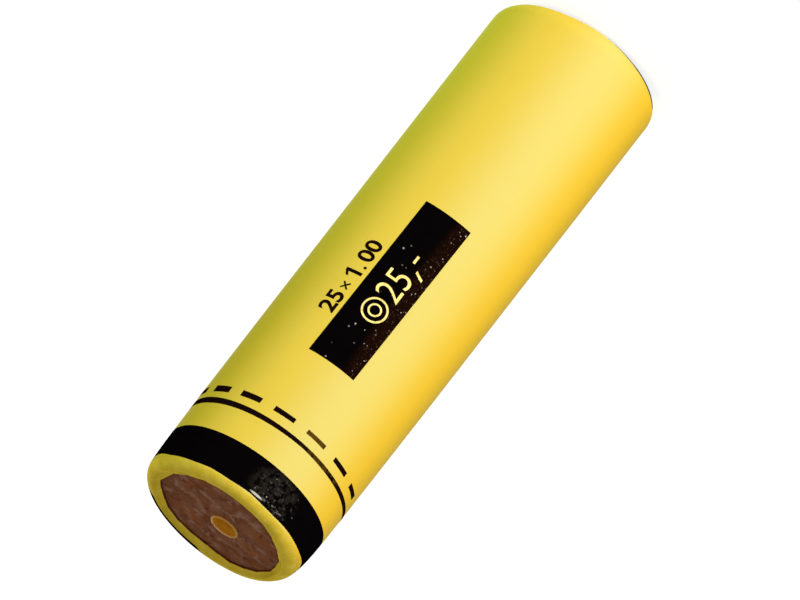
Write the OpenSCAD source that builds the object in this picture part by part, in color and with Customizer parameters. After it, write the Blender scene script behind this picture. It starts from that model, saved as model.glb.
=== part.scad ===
// Coin tube: a stack of like coins packed in a board liner under a wrapping of
// paper, with a plug and a board disc behind the folded paper at each end.
// Lengths are in millimetres. The plain end stands on z = 0 and the marked
// end, which tears off along a line level with the top coin, is uppermost.

/* [Coins] */
// Number of coins in the stack
coin_count = 25; // [2:1:25]
// Diameter of one coin
coin_d = 23.25; // [18:0.05:32]
// Thickness of one coin across its rims
coin_t = 2.33; // [1.5:0.01:2.9]
// Width of a coin's outer ring, from the centre piece to the edge
coin_ring_w = 3.5; // [1.5:0.05:6]
// Width of the raised rim round each face of a coin
coin_rim_w = 0.9; // [0.3:0.05:1.4]
// Depth of a coin's field below its rim
coin_field_depth = 0.15; // [0.08:0.01:0.4]
// Height of the numeral on each face of a coin
numeral_h = 9; // [3:0.5:14]
// How far the numeral's face lies below the rim
numeral_sink = 0.05; // [0.02:0.01:0.07]
// Angle by which each coin is turned from the one below it
coin_turn = 47; // [0:1:90]

/* [Tube] */
// Length of the tube over its folded ends
tube_h = 84.25; // [72:0.05:140]
// Gap between the edge of a coin and the board liner
coin_clearance = 0.15; // [0.1:0.01:0.5]
// Thickness of the board liner
board_wall = 0.35; // [0.2:0.01:1.2]
// Thickness of the wrapping, which is two turns of paper
paper_wall = 0.175; // [0.08:0.005:0.3]

/* [End stops] */
// Thickness of the board disc at each end
disc_t = 0.45; // [0.2:0.01:1.5]
// Gap round the edge of an end disc or a plug
stop_gap = 0.05; // [0.02:0.01:0.1]
// Diameter of the vent through each disc and plug
vent_d = 3.88; // [1:0.01:8]
// Sideways distance of the vents from the tube's axis
vent_x = -0.78; // [-2:0.01:2]
// Distance of the vents behind the tube's axis
vent_y = 0.8; // [-2:0.01:2]

/* [Marked end] */
// Outer radius of the roll where the paper turns in over the marked end
near_bend_r = 1.5; // [0.6:0.05:1.8]
// Width of the folded paper, from the tube's outside to the opening it leaves
near_fold_w = 2.7; // [2.5:0.05:5]
// Depth of the disc's face below the crest of the fold
near_recess = 0.75; // [0.31:0.01:1.2]

/* [Plain end] */
// Outer radius of the roll where the paper turns in over the plain end
far_bend_r = 3.2; // [0.6:0.05:3.3]
// Width of the folded paper, from the tube's outside to the opening it leaves
far_fold_w = 4.1; // [4:0.05:6]

/* [Hidden] */
$fn = 96;
// How far a cutting solid runs past what it cuts
overrun = 1;

coin_r = coin_d / 2;
core_r = coin_r - coin_ring_w;
bore_r = coin_r + coin_clearance;
liner_r = bore_r + board_wall;
tube_r = liner_r + paper_wall;
stop_r = bore_r - stop_gap;
// Mean radius of the opening inside the folded paper at each end
near_opening_r = tube_r - near_fold_w;
far_opening_r = tube_r - far_fold_w;
// Length behind each end that its disc and plug fill, up to the coins
end_margin = (tube_h - coin_count * coin_t) / 2;
// Height of the tear line, which is level with the top of the coins
tear_z = tube_h - end_margin;

// Corners of the opening that the crimped paper leaves: angle from +X in
// degrees, and distance from the axis as a share of the opening's mean radius
opening_shares = [
    [7, 1.03], [20, 1.00], [35, 0.99], [47, 1.015], [62, 1.00], [78, 0.965],
    [92, 0.945], [104, 0.985], [116, 1.035], [130, 1.03], [143, 1.04], [163, 1.05],
    [176, 1.03], [191, 1.035], [208, 1.00], [226, 0.99], [243, 1.02],
    [262, 1.00], [280, 1.02], [300, 1.00], [318, 0.985], [337, 1.00]
];
// Radius where the sheet of the fold ends before its edge is crimped, as a
// share of the opening's mean radius
flap_reach_share = 0.92;
// Radius where the fold comes down to the disc, as a share of the opening's
flap_land_share = 1.055;

// Outline of the figure 1 as shares of its height, centred on the coin
numeral_shares = [
    [-0.24, -0.50], [0.26, -0.50], [0.26, -0.40], [0.09, -0.40],
    [0.09, 0.50], [-0.04, 0.50], [-0.26, 0.34], [-0.26, 0.23],
    [-0.07, 0.33], [-0.07, -0.40], [-0.24, -0.40]
];

function coin_node(n, piece) = str("coin_", n < 10 ? "0" : "", n, "_", piece);

// Turns what is drawn for an end that stands on z = 0 over to the marked end
module at_near_end() {
    translate([0, 0, tube_h]) mirror([0, 0, 1]) children();
}

// A quarter of a round bend in the paper, about the origin
module paper_bend(bend_r) {
    intersection() {
        difference() {
            circle(r = bend_r);
            circle(r = bend_r - paper_wall);
        }
        square(bend_r);
    }
}

// The uneven opening that the crimped edge of the fold leaves
module crimped_opening(opening_r) {
    translate([0, 0, -overrun])
        linear_extrude(tube_r)
            polygon([for (c = opening_shares) opening_r * c[1] * [cos(c[0]), sin(c[0])]]);
}

// A sleeve of paper with one end folded in: inside the bend the fold rises by
// flap_rise from the end plane, and its inner edge lies flat on the disc
module folded_sleeve(bend_r, opening_r, flap_rise, sleeve_h) {
    bend_c = tube_r - bend_r;
    flap_r = opening_r * flap_reach_share;
    land_r = opening_r * flap_land_share;
    difference() {
        rotate_extrude() {
            translate([liner_r, bend_r]) square([paper_wall, sleeve_h - bend_r]);
            translate([bend_c, bend_r]) mirror([0, 1]) paper_bend(bend_r);
            polygon([
                [bend_c, 0], [bend_c, paper_wall], [land_r, flap_rise + paper_wall],
                [flap_r, flap_rise + paper_wall], [flap_r, flap_rise], [land_r, flap_rise]
            ]);
        }
        crimped_opening(opening_r);
    }
}

// A straight tube of board between two heights
module board_sleeve(low_z, high_z) {
    difference() {
        translate([0, 0, low_z]) cylinder(r = liner_r, h = high_z - low_z);
        translate([0, 0, low_z - overrun])
            cylinder(r = bore_r, h = high_z - low_z + 2 * overrun);
    }
}

// The hole that lets air out as an end stop is pushed in
module vent(length) {
    translate([vent_x, vent_y, -overrun]) cylinder(d = vent_d, h = length + 2 * overrun);
}

// Widest disc that lies inside the bend with its outer face at face_z
function disc_r(bend_r, face_z) =
    let (drop = max(0, bend_r - face_z), inner_r = bend_r - paper_wall)
    min(stop_r, tube_r - bend_r + sqrt(max(0, inner_r * inner_r - drop * drop)) - stop_gap);

module end_disc(bend_r, face_z) {
    difference() {
        translate([0, 0, face_z]) cylinder(r = disc_r(bend_r, face_z), h = disc_t);
        vent(end_margin);
    }
}

// A plug from the disc to the coins, rounded to lie inside the bend
module end_plug(bend_r, face_z) {
    bend_c = tube_r - bend_r;
    difference() {
        rotate_extrude() intersection() {
            translate([0, face_z]) square([stop_r, end_margin - face_z]);
            union() {
                translate([bend_c, bend_r]) circle(r = bend_r - paper_wall - stop_gap);
                square([bend_c, end_margin]);
                translate([0, bend_r]) square([tube_r, end_margin - bend_r]);
            }
        }
        vent(end_margin);
    }
}

module wrapper_body() {
    color("gold") folded_sleeve(far_bend_r, far_opening_r, 0, tear_z);
}

module body_liner() {
    color("burlywood") board_sleeve(far_bend_r, tear_z);
}

module far_end_disc() {
    color("sienna") end_disc(far_bend_r, paper_wall);
}

module far_end_plug() {
    color("peru") end_plug(far_bend_r, paper_wall + disc_t);
}

module wrapper_cap() {
    color("gold") at_near_end()
        folded_sleeve(near_bend_r, near_opening_r, near_recess - paper_wall, end_margin);
}

module cap_liner() {
    color("burlywood") at_near_end() board_sleeve(near_bend_r, end_margin);
}

module near_end_disc() {
    color("sienna") at_near_end() end_disc(near_bend_r, near_recess);
}

module near_end_plug() {
    color("peru") at_near_end() end_plug(near_bend_r, near_recess + disc_t);
}

// Puts a coin drawn on z = 0 at its place in the stack, counted from below
module in_stack(n) {
    translate([0, 0, end_margin + (n - 1) * coin_t]) rotate(n * coin_turn) children();
}

// The outer ring of a coin, with its raised rim on both faces
module coin_ring(n) {
    color("goldenrod") in_stack(n) rotate_extrude() {
        translate([core_r, coin_field_depth])
            square([coin_r - core_r, coin_t - 2 * coin_field_depth]);
        translate([coin_r - coin_rim_w, 0]) square([coin_rim_w, coin_t]);
    }
}

// The figure raised on one face of a coin
module coin_numeral() {
    relief = coin_field_depth - numeral_sink;
    translate([0, 0, coin_t / 2 - coin_field_depth])
        linear_extrude(relief) polygon(numeral_h * numeral_shares);
}

// The centre piece of a coin, with its numeral on both faces
module coin_core(n) {
    color("silver") in_stack(n) {
        translate([0, 0, coin_field_depth])
            cylinder(r = core_r, h = coin_t - 2 * coin_field_depth);
        translate([0, 0, coin_t / 2]) {
            coin_numeral();
            rotate([180, 0, 0]) coin_numeral();
        }
    }
}

wrapper_body();
body_liner();
far_end_disc();
far_end_plug();
wrapper_cap();
cap_liner();
near_end_disc();
near_end_plug();
for (n = [1 : coin_count]) {
    coin_ring(n);
    coin_core(n);
}
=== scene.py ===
import math
from functools import partialmethod

import bmesh
import bpy
import numpy as np
from mathutils import Matrix, Vector


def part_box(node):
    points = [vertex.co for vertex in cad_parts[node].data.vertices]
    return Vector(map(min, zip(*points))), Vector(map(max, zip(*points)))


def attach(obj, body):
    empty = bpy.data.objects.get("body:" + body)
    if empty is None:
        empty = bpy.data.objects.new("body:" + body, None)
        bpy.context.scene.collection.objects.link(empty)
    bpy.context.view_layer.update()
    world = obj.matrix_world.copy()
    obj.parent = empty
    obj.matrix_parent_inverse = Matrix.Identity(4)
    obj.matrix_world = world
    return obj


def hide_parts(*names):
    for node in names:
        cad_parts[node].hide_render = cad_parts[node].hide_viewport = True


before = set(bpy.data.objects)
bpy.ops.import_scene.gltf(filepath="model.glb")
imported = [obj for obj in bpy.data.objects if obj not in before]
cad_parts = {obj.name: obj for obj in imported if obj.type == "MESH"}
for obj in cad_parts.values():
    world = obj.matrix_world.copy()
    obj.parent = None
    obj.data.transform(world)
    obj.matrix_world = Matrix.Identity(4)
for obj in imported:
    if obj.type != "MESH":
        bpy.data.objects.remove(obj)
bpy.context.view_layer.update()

# The stage is a plain pale floor and a white surround, under soft lamps. The key lamp is low in
# front of the tube, so that the wall is bright and the top darker. The lamps below the floor's
# level shine through it, and from below the floor is clear, so that the plain end shows.
MM = 0.001
scene = bpy.context.scene
scene.view_settings.view_transform = "Standard"


def round_size(node):
    """A round node's radius and the heights of its two ends, in millimetres."""
    low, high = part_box(node)
    return high.x / MM, low.z / MM, high.z / MM


tube_r, _, cut_h = round_size("wrapper_body")
tube_h = round_size("wrapper_cap")[2]
tube_middle = Vector((0, 0, tube_h * MM / 2))


class Signal:
    """A value that changes over a surface: an output of a shader node, the first one unless a name
    or a number in brackets picks another. Arithmetic on it adds Math nodes to the same tree."""

    def __init__(self, node, output=0):
        self.node = node
        self.output = output
        self.tree = node.id_data

    def __getitem__(self, output):
        return Signal(self.node, output)

    def calc(self, operation, *values):
        return add_node(self.tree, "Math", dict(enumerate((self, *values))), operation=operation)

    __add__ = partialmethod(calc, "ADD")
    __sub__ = partialmethod(calc, "SUBTRACT")
    __mul__ = partialmethod(calc, "MULTIPLY")
    __truediv__ = partialmethod(calc, "DIVIDE")
    __abs__ = partialmethod(calc, "ABSOLUTE")

    def __rsub__(self, number):
        return add_node(self.tree, "Math", {0: number, 1: self}, operation="SUBTRACT")

    def ease(self, low, high, to_low=0.0, to_high=1.0):
        """Goes smoothly from to_low to to_high as the value goes from low to high."""
        return add_node(self.tree, "MapRange", {
            "Value": self, "From Min": low, "From Max": high, "To Min": to_low, "To Max": to_high,
        }, interpolation_type="SMOOTHSTEP")


def connect(node, inputs):
    """Gives each named input of a node a plain value or another node's output. A colour is three
    levels from 0 to 1."""
    for name, value in inputs.items():
        socket = node.inputs[name]
        if isinstance(value, Signal):
            node.id_data.links.new(value.node.outputs[value.output], socket)
        else:
            socket.default_value = (*value, 1) if socket.type == "RGBA" else value


def add_node(tree, kind, inputs=None, **settings):
    """Adds a shader node to a tree and gives its first output."""
    made = tree.nodes.new("ShaderNode" + kind)
    for name, value in settings.items():
        setattr(made, name, value)
    connect(made, inputs or {})
    return Signal(made)


def new_material(name):
    """The node tree and the shader of a new Principled material, which pieces call by its name."""
    material = bpy.data.materials.new(name)
    material.use_nodes = True
    return material.node_tree, material.node_tree.nodes["Principled BSDF"]


def add_object(name, data):
    """An object at the origin that shows a mesh, a lamp or a camera."""
    made = bpy.data.objects.new(name, data)
    scene.collection.objects.link(made)
    return made


def seen_by_eye(tree):
    """One for camera, glossy and transmission rays, and zero for the light that falls on things."""
    path = add_node(tree, "LightPath")
    direct = path["Is Camera Ray"].calc("MAXIMUM", path["Is Glossy Ray"])
    return direct.calc("MAXIMUM", path["Is Transmission Ray"])


def make_surround(sky_level):
    """A world that looks white and gives a level of light."""
    world = bpy.data.worlds.new("surround")
    world.use_nodes = True
    scene.world = world
    tree = world.node_tree
    level = add_node(tree, "MapRange", {"Value": seen_by_eye(tree), "To Min": sky_level, "To Max": 1.0})
    connect(tree.nodes["Background"], {"Color": (1, 1, 1), "Strength": level})


def make_floor(half_width, glow):
    """A square floor, pale to the light and white to the eye. It is clear from below."""
    w = half_width
    floor_mesh = bpy.data.meshes.new("floor")
    floor_mesh.from_pydata([(-w, -w, 0), (w, -w, 0), (w, w, 0), (-w, w, 0)], [], [(0, 1, 2, 3)])
    floor = add_object("floor", floor_mesh)
    tree, shader = new_material("pale_floor")
    eye = seen_by_eye(tree)
    connect(shader, {
        "Base Color": 0.9 - eye * 0.45, "Roughness": 1.0, "Specular IOR Level": 0.0,
        "Emission Color": (1, 1, 1), "Emission Strength": eye * glow,
    })
    from_below = add_node(tree, "NewGeometry")["Backfacing"]
    clear = add_node(tree, "BsdfTransparent")
    surface = add_node(tree, "MixShader", {0: from_below, 1: Signal(shader), 2: clear})
    connect(tree.nodes["Material Output"], {"Surface": surface})
    floor_mesh.materials.append(bpy.data.materials["pale_floor"])
    floor.visible_shadow = False


def soft_lamp(name, turn, rise, distance, size, level, colour):
    """A square lamp aimed at the tube. It stands at turn degrees round from the front towards -X
    and rise degrees above the tube's middle, and level is the light that it gives there."""
    turn, rise = math.radians(turn), math.radians(rise)
    away = Vector((-math.sin(turn) * math.cos(rise), -math.cos(turn) * math.cos(rise), math.sin(rise)))
    light = bpy.data.lights.new(name, "AREA")
    light.size = size
    light.color = colour
    light.energy = level * math.pi**2 * distance**2
    lamp = add_object(name, light)
    lamp.location = tube_middle + away * distance
    lamp.rotation_euler = away.to_track_quat("Z", "Y").to_euler()
    lamp.visible_camera = False
    return lamp


make_surround(0.4)
make_floor(3.0, 0.85)
soft_lamp("key_lamp", 30, -20, 0.8, 0.45, 0.87, (1.0, 0.955, 0.92))
soft_lamp("cool_fill", -72, -12, 0.8, 0.50, 0.38, (0.76, 1.0, 0.80))
back_fill = soft_lamp("back_fill", 180, 8, 0.8, 0.50, 0.45, (1.0, 1.0, 1.0))
back_fill.visible_glossy = False

# The camera is far off with a long lens, looks down at the tube by a little over twenty degrees
# and is rolled, so that the marked end points to the lower left.
LENS = 1250.0
SENSOR = 36.0
PICTURE_WIDTH = 800
tube_width_pixels = 188.37
camera_rise = math.radians(22.68)
marked_end_heading = (-0.61312, -0.78999)
tube_offset_pixels = (1.57, 10.37)

pixel = 2 * tube_r * MM / tube_width_pixels
camera_distance = pixel * PICTURE_WIDTH * LENS / SENSOR
back = Vector((0, -math.cos(camera_rise), math.sin(camera_rise)))
level_right = Vector((1, 0, 0))
level_up = Vector((0, math.sin(camera_rise), math.cos(camera_rise)))
heading_x, heading_y = marked_end_heading
image_right = heading_y * level_right + heading_x * level_up
image_up = -heading_x * level_right + heading_y * level_up
camera_data = bpy.data.cameras.new("camera")
camera_data.lens = LENS
camera_data.sensor_width = SENSOR
camera_data.clip_start = 1.0
camera_data.clip_end = 20.0
camera = add_object("camera", camera_data)
offset_right, offset_up = tube_offset_pixels
aim = tube_middle - (image_right * offset_right + image_up * offset_up) * pixel
camera.matrix_world = Matrix.Translation(aim + back * camera_distance) @ Matrix(
    (image_right, image_up, back)
).transposed().to_4x4()
scene.camera = camera

# Twenty-five two-metal coins, each a brass-coloured ring closed round a nickel-coloured centre.
# They are struck, with a raised rim, a circle of beads and a plain figure on both faces, and an
# edge that is milled in three stretches. They lie loose on each other inside the liner.
COIN_COLUMNS = 360
coin_field_depth = 0.15
coin_rim_w = 0.9
coin_edge_w = 0.3
coin_turn = 47
bead_count = 36
bead_r = 0.42
bead_h = 0.10
milling_depth = 0.05
milling_pitch = 4
milled_stretch = 60
numeral_h = 9
numeral_relief = 0.10
numeral_bevel = 0.07
numeral_outline = numeral_h * np.array([
    (-0.24, -0.50), (0.26, -0.50), (0.26, -0.40), (0.09, -0.40), (0.09, 0.50), (-0.04, 0.50),
    (-0.26, 0.34), (-0.26, 0.23), (-0.07, 0.33), (-0.07, -0.40), (-0.24, -0.40),
])
coin_r, coin_low, coin_high = round_size("coin_01_ring")
coin_t = coin_high - coin_low
core_r = round_size("coin_01_core")[0]
coin_count = sum(name.endswith("_ring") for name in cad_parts)


def grid_faces(rows, columns, rows_meet=False, columns_meet=True):
    """Corner numbers of the quads between the rows and columns of a grid. Where they meet, the
    last row or column also joins the first."""
    row = np.arange(rows if rows_meet else rows - 1)[:, None]
    column = np.arange(columns if columns_meet else columns - 1)
    above = (row + 1) % rows * columns
    beside = (column + 1) % columns
    level = row * columns
    corners = (level + column, level + beside, above + beside, above + column)
    return np.stack(corners, axis=-1).reshape(-1, 4)


def around(r, z, turn):
    """Places at radius r and height z, at angles turn, in degrees from +X."""
    angle = np.radians(turn)
    return np.stack(np.broadcast_arrays(r * np.cos(angle), r * np.sin(angle), z), axis=-1)


def add_piece(name, points, faces, materials, body, replaced=(), crease=40):
    """Makes a piece from points in millimetres, lists of corner numbers and names of materials,
    with edges sharper than crease degrees left hard, and lets it ride on a body."""
    mesh = bpy.data.meshes.new(name)
    corner_lists = faces.tolist() if isinstance(faces, np.ndarray) else faces
    mesh.from_pydata((points.reshape(-1, 3) * MM).tolist(), [], corner_lists)
    mesh.shade_smooth()
    mesh.set_sharp_from_angle(angle=math.radians(crease))
    for material in materials:
        mesh.materials.append(bpy.data.materials[material])
    piece = add_object(name, mesh)
    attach(piece, body)
    if replaced:
        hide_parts(*replaced)
    return piece


def paint_points(piece, name, values):
    """Keeps one number for each point of a piece, for its material to read."""
    attribute = piece.data.attributes.new(name, "FLOAT", "POINT")
    attribute.data.foreach_set("value", np.ravel(values).astype(np.float32))


def column_turns(columns):
    """The angles of the columns of a round grid, in degrees from +X."""
    return np.arange(columns)[None, :] * 360 / columns


def mix(share, first, second):
    """The colour at a share of the way from one colour to another."""
    return add_node(share.tree, "Mix", {0: share, 6: first, 7: second}, data_type="RGBA")[2]


def tinted(colour, *tints):
    """A colour with tints laid over it in turn, each given by its share and its colour."""
    for share, tint in tints:
        colour = mix(share, colour, tint)
    return colour


def noise(place, scale, detail=3.0, roughness=0.5, distortion=0.0):
    """Cloudy noise, with scale clouds to a millimetre where the place is in millimetres."""
    return add_node(place.tree, "TexNoise", {
        "Vector": place, "Scale": scale, "Detail": detail, "Roughness": roughness, "Distortion": distortion,
    })["Fac"]


def bump(height, depth, strength=1.0):
    """A normal bent by a height of 0 to 1 that stands for a depth in metres."""
    return add_node(height.tree, "Bump", {"Height": height, "Distance": depth, "Strength": strength})


def painted(tree, name):
    """The number that paint_points keeps under a name."""
    return add_node(tree, "Attribute", attribute_name=name)["Fac"]


def streaks(place, headings, tilt_share, scale, *noise_values):
    """The highest of several sets of streaks: noise whose place is turned by a heading in degrees
    about Z, tilted by a share of that about X, and drawn out by a scale."""
    highest = None
    for heading in headings:
        rotation = (math.radians(tilt_share * heading), 0, math.radians(heading))
        turned = add_node(place.tree, "Mapping", {"Vector": place, "Rotation": rotation, "Scale": scale})
        streak = noise(turned, *noise_values)
        highest = streak if highest is None else highest.calc("MAXIMUM", streak)
    return highest


def new_group(name, inputs=None):
    """A shader node group with float inputs, given with their usual values: the group and the
    first of its inputs."""
    group = bpy.data.node_groups.new(name, "ShaderNodeTree")
    for label, value in (inputs or {}).items():
        socket = group.interface.new_socket(label, in_out="INPUT", socket_type="NodeSocketFloat")
        socket.default_value = value
    return group, Signal(group.nodes.new("NodeGroupInput"))


def give_out(group, outputs):
    """Names what a node group puts out: numbers or a vector."""
    for label, value in outputs.items():
        kind = "Vector" if value.node.outputs[value.output].type == "VECTOR" else "Float"
        group.interface.new_socket(label, in_out="OUTPUT", socket_type="NodeSocket" + kind)
    connect(group.nodes.new("NodeGroupOutput"), outputs)
    return group


def use_group(tree, group, inputs=None):
    """A node group placed in a material: its first output, from which the rest can be picked."""
    return add_node(tree, "Group", inputs, node_tree=group)


def make_place_group():
    """Where a point is on the tube: in millimetres, its place, its distance from the axis and
    from the marked end, and its angle in degrees round from the front towards -X."""
    group, _ = new_group("place_on_tube")
    object_place = add_node(group, "TexCoord")["Object"]
    place = add_node(group, "VectorMath", {0: object_place, "Scale": 1 / MM}, operation="SCALE")
    parts = add_node(group, "SeparateXYZ", {0: place})
    x, y, z = parts["X"], parts["Y"], parts["Z"]
    return give_out(group, {
        "Place": place, "Radius": (x * x + y * y).calc("SQRT"), "From End": tube_h - z,
        "Turn": (x * -1.0).calc("ARCTAN2", y * -1.0).calc("DEGREES"),
    })


def make_handling_group():
    """Marks of handling on struck metal: fine scratches as a height and a cloudy smear."""
    group, given = new_group("handling_marks", {"Scratch Scale": 9.0, "Smear Scale": 0.5})
    place = use_group(group, place_group)
    scratches = streaks(place, (20, 75, 140), 0.0, (1.0, 0.06, 1.0), given["Scratch Scale"], 2.0)
    return give_out(group, {
        "Scratches": scratches.ease(0.62, 0.74), "Smear": noise(place, given["Smear Scale"], 4.0, 0.6),
    })


place_group = make_place_group()
handling_group = make_handling_group()


def struck_metal(name, clean, toned, shine):
    """Coin metal: it is toned in its hollows, smeared and scratched by handling."""
    tree, shader = new_material(name)
    marks = use_group(tree, handling_group)
    smear = marks["Smear"]
    tone = (smear.ease(0.35, 0.7) * 0.45).calc("MAXIMUM", painted(tree, "hollow") * 0.7)
    connect(shader, {
        "Base Color": mix(tone, clean, toned), "Metallic": 1.0,
        "Roughness": smear.ease(0.3, 0.7, shine, shine + 0.16),
        "Normal": bump(marks["Scratches"], 0.000004, 0.5),
    })


def zigzag(turn, pitch):
    """A triangle wave from 1 down to 0 and back in each pitch."""
    return np.abs(turn % pitch / (pitch / 2) - 1)


def mirrored(r, z):
    """A coin's section as two columns: the rows of one half, and then those of the other half."""
    return np.concatenate([r, r[::-1]])[:, None], np.concatenate([z, -z[::-1]])[:, None]


def coin_ring_parts():
    """A ring about the coin's middle: its section runs in across the upper face, down the inside
    and out across the lower face. Beads stand on the field, and the edge is milled by a
    triangle wave. It gives the points, the faces and how hollow each point is, from 0 to 1."""
    top = coin_t / 2
    field = top - coin_field_depth
    bead_line = (core_r + coin_r - coin_rim_w) / 2
    bead_rows = bead_line + bead_r * np.array([1.0, 0.8, 0.5, 0.2, -0.2, -0.5, -0.8, -1.0])
    rim_rows = coin_r - np.array([0.0, 0.05, 0.16, 0.62, 0.76, 0.84, coin_rim_w])
    rim_heights = top - np.array([0.16, 0.04, 0.0, 0.0, 0.05, 0.12, coin_field_depth])
    seat_rows = core_r + np.array([0.14, 0.04, 0.0])
    seat_heights = field - np.array([0.0, 0.03, 0.08])
    r, z = mirrored(
        np.concatenate([rim_rows, bead_rows, seat_rows]),
        np.concatenate([rim_heights, np.full(len(bead_rows), field), seat_heights]),
    )
    turn = column_turns(COIN_COLUMNS)
    bead_pitch = 360 / bead_count
    along = np.radians((turn + bead_pitch / 2) % bead_pitch - bead_pitch / 2) * bead_line
    from_bead = ((r - bead_line) ** 2 + along**2) / bead_r**2
    z = z + np.sign(z) * bead_h * np.sqrt(np.clip(1 - from_bead, 0, 1))
    milled = (turn // milled_stretch % 2 == 0) * (r == coin_r)
    groove = zigzag(turn, milling_pitch) * milled
    inside_edge = r < coin_r - coin_edge_w
    hollow = np.clip((top - np.abs(z)) / coin_field_depth, 0, 1) * inside_edge + groove
    faces = grid_faces(len(r), COIN_COLUMNS, True)
    return around(r - milling_depth * groove, z, turn), faces, hollow


def grown_outline(outline, growth):
    """An outline moved outwards by a growth, with its corners kept sharp."""
    ahead = np.roll(outline, -1, axis=0) - outline
    normal = np.stack([ahead[:, 1], -ahead[:, 0]], axis=-1) / np.linalg.norm(ahead, axis=1, keepdims=True)
    before = np.roll(normal, 1, axis=0)
    corner = (normal + before) / (1 + (normal * before).sum(axis=1, keepdims=True))
    return outline + growth * corner


def coin_core_parts():
    """A centre piece about the coin's middle: a disc whose section runs from the middle of its
    lower face round to the middle of its upper face, and a figure with sloping sides on each
    face. It gives the points, the faces and how hollow each point is."""
    field = coin_t / 2 - coin_field_depth
    columns = 120
    r, z = mirrored(
        np.array([1.5, 4.5, 7.0, core_r - 0.25, core_r - 0.05, core_r]),
        np.array([0.0, 0.0, 0.0, 0.0, 0.02, 0.07]) - field,
    )
    disc = around(r, z, column_turns(columns)).reshape(-1, 3)
    points = [disc, [(0, 0, -field), (0, 0, field)]]
    hollow = [np.ones(len(disc) + 2)]
    first = np.arange(columns)
    beside = (first + 1) % columns
    last = len(disc) - columns
    faces = grid_faces(len(r), columns).tolist()
    for pole, near, far in ((0, beside, first), (1, last + first, last + beside)):
        faces += np.stack([near, far, np.full(columns, len(disc) + pole)], axis=-1).tolist()
    growths = [2 * numeral_bevel, numeral_bevel, 0.0]
    heights = field + np.array([-0.02, numeral_relief * 0.6, numeral_relief])
    corners = len(numeral_outline)
    figure = np.concatenate([
        np.column_stack([grown_outline(numeral_outline, growth), np.full(corners, height)])
        for growth, height in zip(growths, heights)
    ])
    for number, face_sign in enumerate((1, -1)):
        start = len(disc) + 2 + number * len(figure)
        points.append(figure * (1, face_sign, face_sign))
        faces += (grid_faces(len(heights), corners) + start).tolist()
        faces.append((start + len(figure) - corners + np.arange(corners)).tolist())
        faces.append((start + np.arange(corners)[::-1]).tolist())
        hollow.append(np.repeat([1.0, 0.3, 0.0], corners))
    return np.concatenate(points), faces, np.concatenate(hollow)


def put_in_stack(points, number):
    """Coin points moved to a place in the stack and turned by that coin's own angle."""
    _, low_z, high_z = round_size(f"coin_{number:02d}_ring")
    angle = math.radians(number * coin_turn)
    turning = np.array([
        [math.cos(angle), math.sin(angle), 0], [-math.sin(angle), math.cos(angle), 0], [0, 0, 1],
    ])
    return points.reshape(-1, 3) @ turning + (0, 0, (low_z + high_z) / 2)


struck_metal("ring_alloy", (0.62, 0.41, 0.13), (0.30, 0.17, 0.05), 0.27)
struck_metal("core_alloy", (0.52, 0.50, 0.46), (0.26, 0.235, 0.205), 0.29)
coin_parts = (("ring", 40, coin_ring_parts()), ("core", 25, coin_core_parts()))
for number in range(1, coin_count + 1):
    coin = f"coin_{number:02d}"
    for part, crease, (points, faces, hollow) in coin_parts:
        piece = add_piece(
            f"{coin}_struck_{part}", put_in_stack(points, number), faces, [part + "_alloy"],
            coin, [f"{coin}_{part}"], crease,
        )
        paint_points(piece, "hollow", hollow)

# The liners are two lengths of one tube, wound on a slant from strips of kraft board and cut
# clean through at the tear line. The long one holds the coins and the short one the end plug.
# Like all of the tube, they are a little out of true towards both ends.
LINER_COLUMNS = 240
board_wall = 0.35
edge_fray = 0.03
edge_round = 0.06
side_swell = 0.075
askew_h = 0.37
askew_depth = 12.0


def uneven(u, v, waves=9):
    """A smooth uneven field from about -1 to 1: equal cosine waves, one unit long, whose headings
    turn by the golden angle."""
    total = 0
    for k in range(waves):
        heading = math.radians(137.508 * k)
        total = total + np.cos(2 * math.pi * (u * math.cos(heading) + v * math.sin(heading)) + 1.7 * k * k)
    return total * 1.6 / waves


def uneven_round(turn, bumps, drift=0.0):
    """The uneven field along a circle, with about so many bumps round it."""
    angle = np.radians(turn)
    reach = bumps / (2 * math.pi)
    return uneven(reach * np.cos(angle) + drift, reach * np.sin(angle) - 0.6 * drift)


def out_of_true(points):
    """Points of the tube where handling has pressed them. The marked end is squeezed in from its
    left and, much more, from its right, by depths that die away exponentially along the tube,
    whose sides swell a little towards the plain end. That end is folded askew: it lies higher
    on the left, by twice askew_h at most, and its corner on the right stands out."""
    x, y, z = points[..., 0], points[..., 1], points[..., 2]
    from_end = tube_h - z
    turn = np.arctan2(-x, -y)

    def facing(degrees, power):
        """One straight towards an angle from the front, falling off to both sides."""
        return np.clip(np.cos(turn - math.radians(degrees)), 0, 1) ** power

    from_left = 0.21 * np.exp(-from_end / 5) + 0.04 * np.exp(-from_end / 25)
    from_right = 0.21 * np.exp(-from_end / 22) + 0.85 * np.exp(-from_end / 2.4)
    growth = side_swell * (1 - np.exp(-from_end / 30)) * np.sin(turn) ** 2
    growth = growth - facing(-90, 1.5) * from_left - facing(92, 3.2) * from_right
    full_corner = facing(80, 2) * np.exp(-((z / 1.4 - 0.7) ** 2))
    growth = growth + 0.27 * full_corner * np.clip((np.hypot(x, y) - 8) / 3, 0, 1)
    rise = askew_h * (1 + np.tanh((x - 3) / 4)) * np.clip(1 - z / askew_depth, 0, 1) ** 2
    return np.stack([x * (1 + growth / tube_r), y * (1 + growth / tube_r), z + rise], axis=-1)


def dry_finish(shader, colour, roughness, specular, height, depth, strength):
    """The finish of board, paper or ink, whose height of 0 to 1 stands for a depth in metres."""
    connect(shader, {
        "Base Color": colour, "Roughness": roughness, "Specular IOR Level": specular,
        "Normal": bump(height, depth, strength),
    })


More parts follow.
